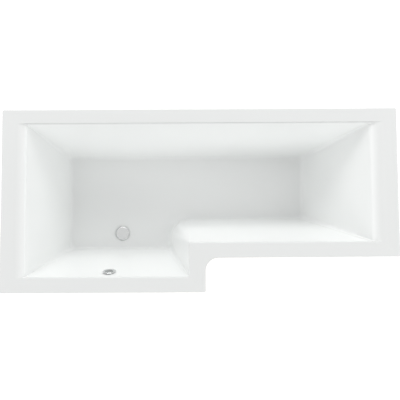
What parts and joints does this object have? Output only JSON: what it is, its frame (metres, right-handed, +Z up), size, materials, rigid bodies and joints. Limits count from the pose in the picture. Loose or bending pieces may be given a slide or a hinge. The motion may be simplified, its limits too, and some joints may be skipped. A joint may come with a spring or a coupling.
{
  "type": "shower bath",
  "caption": "Acrylic shower bath, L-shaped in plan with a wide square showering end, click-clack waste, overflow hose, baseboard, cradle legs and adjustable feet.",
  "frame": {"origin": "middle of the bath's outline, on the floor that the feet stand on", "axes": "+X along the bath towards the bathing end, +Y towards the wall behind it, +Z up"},
  "size_m": [1.7, 0.785, 0.5598],
  "materials": {
    "acrylic": "polished",
    "glass_fibre": "sprayed and rolled",
    "chipboard": "raw",
    "softwood": "sawn",
    "zinc_steel": "zinc plated",
    "spring_steel": "drawn",
    "foot_plastic": "moulded",
    "chrome": "polished",
    "rubber": "moulded",
    "white_plastic": "moulded",
    "hose_plastic": "extruded",
    "brass": "turned"
  },
  "bodies": {
    "bath": {"bath_shell": "acrylic", "grp_reinforcement": "glass_fibre", "baseboard": "chipboard", "batten_back": "softwood", "batten_left": "softwood", "batten_right": "softwood", "batten_front_wide": "softwood", "batten_step": "softwood", "batten_front_narrow": "softwood", "leg_bar_left": "zinc_steel", "leg_bar_right": "zinc_steel", "centre_leg": "zinc_steel", "board_screws": "zinc_steel", "lock_nuts": "zinc_steel", "wall_bracket_left": "zinc_steel", "wall_bracket_right": "zinc_steel", "bracket_screws": "zinc_steel", "waste_flange": "chrome", "flange_seal": "rubber", "waste_seal": "rubber", "waste_body": "white_plastic", "waste_cartridge": "brass", "plug_spring": "spring_steel", "overflow_face": "chrome", "overflow_screw": "zinc_steel", "overflow_seal": "rubber", "overflow_elbow": "white_plastic", "overflow_hose": "hose_plastic", "hose_nut_top": "white_plastic", "hose_nut_bottom": "white_plastic"},
    "plug": {"plug_plunger": "brass", "plug_cap": "chrome", "plug_seal": "rubber"},
    "foot_1": {"foot_stud_1": "zinc_steel", "foot_pad_1": "foot_plastic"},
    "foot_2": {"foot_stud_2": "zinc_steel", "foot_pad_2": "foot_plastic"},
    "foot_3": {"foot_stud_3": "zinc_steel", "foot_pad_3": "foot_plastic"},
    "foot_4": {"foot_stud_4": "zinc_steel", "foot_pad_4": "foot_plastic"},
    "foot_5": {"foot_stud_5": "zinc_steel", "foot_pad_5": "foot_plastic"}
  },
  "joints": [
    {"name": "plug_press", "type": "slide", "parent": "bath", "child": "plug", "axis": [0, 0, -1], "range_m": [0, 0.008], "stiffness_N_per_m": 250, "springref_m": -0.012, "deforming": ["plug_spring"]},
    {"name": "foot_1_screw", "type": "slide", "parent": "bath", "child": "foot_1", "axis": [0, 0, -1], "range_m": [0, 0.03]},
    {"name": "foot_2_screw", "type": "slide", "parent": "bath", "child": "foot_2", "axis": [0, 0, -1], "range_m": [0, 0.03]},
    {"name": "foot_3_screw", "type": "slide", "parent": "bath", "child": "foot_3", "axis": [0, 0, -1], "range_m": [0, 0.03]},
    {"name": "foot_4_screw", "type": "slide", "parent": "bath", "child": "foot_4", "axis": [0, 0, -1], "range_m": [0, 0.03]},
    {"name": "foot_5_screw", "type": "slide", "parent": "bath", "child": "foot_5", "axis": [0, 0, -1], "range_m": [0, 0.03]}
  ]
}
